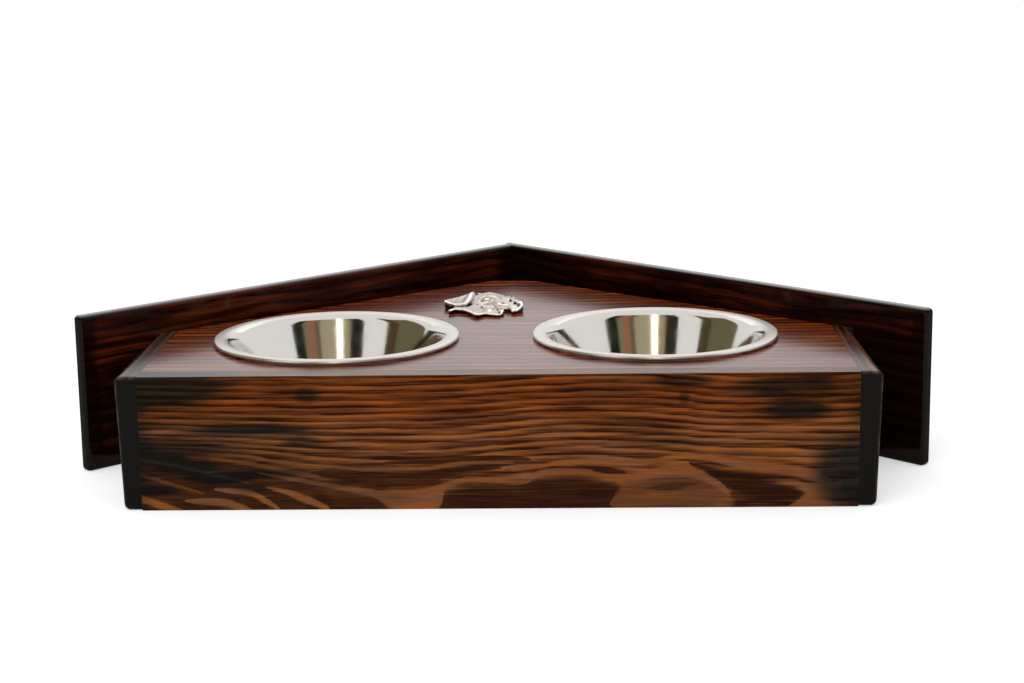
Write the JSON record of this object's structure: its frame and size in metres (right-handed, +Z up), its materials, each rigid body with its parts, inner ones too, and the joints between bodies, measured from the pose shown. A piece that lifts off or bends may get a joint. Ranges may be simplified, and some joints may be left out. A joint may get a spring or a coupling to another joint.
{
  "type": "corner dog feeder",
  "caption": "Low corner feeder of burnt softwood with lift-out steel bowls, splash boards that meet in a right-angled corner, and a small cast dog's head.",
  "frame": {"origin": "on the floor, in the middle of the whole feeder's width and depth", "axes": "+X to the right as seen from the front, +Y from the straight front towards the room's corner, +Z up"},
  "size_m": [0.5544, 0.3738, 0.1042],
  "materials": {
    "burnt_wood": "flamed, brushed and lacquered softwood, glossy",
    "batten_wood": "planed bare softwood",
    "dowel_wood": "plain beech",
    "bowl_steel": "pressed stainless steel, mirror polished inside and satin on the flange",
    "ornament_metal": "cast zinc alloy, bright",
    "screw_steel": "zinc plated"
  },
  "bodies": {
    "feeder": {"front_board": "burnt_wood", "side_board_left": "burnt_wood", "side_board_right": "burnt_wood", "top_panel": "burnt_wood", "wall_board_left": "burnt_wood", "wall_board_right": "burnt_wood", "front_cleat": "batten_wood", "side_cleat_left": "batten_wood", "side_cleat_right": "batten_wood", "rear_cleat_left": "batten_wood", "rear_cleat_right": "batten_wood", "corner_post_left": "batten_wood", "corner_post_right": "batten_wood", "wall_corner_post": "batten_wood", "front_dowels": "dowel_wood", "dog_head_ornament": "ornament_metal", "ornament_pins": "screw_steel", "top_panel_screws": "screw_steel", "cleat_screws": "screw_steel", "wall_board_screws": "screw_steel"},
    "left_bowl": {"bowl_left": "bowl_steel"},
    "right_bowl": {"bowl_right": "bowl_steel"}
  },
  "joints": [
    {"name": "bowl_left_lift", "type": "slide", "parent": "feeder", "child": "left_bowl", "axis": [0, 0, 1], "range_m": [0, 0.08]},
    {"name": "bowl_right_lift", "type": "slide", "parent": "feeder", "child": "right_bowl", "axis": [0, 0, 1], "range_m": [0, 0.08]}
  ]
}
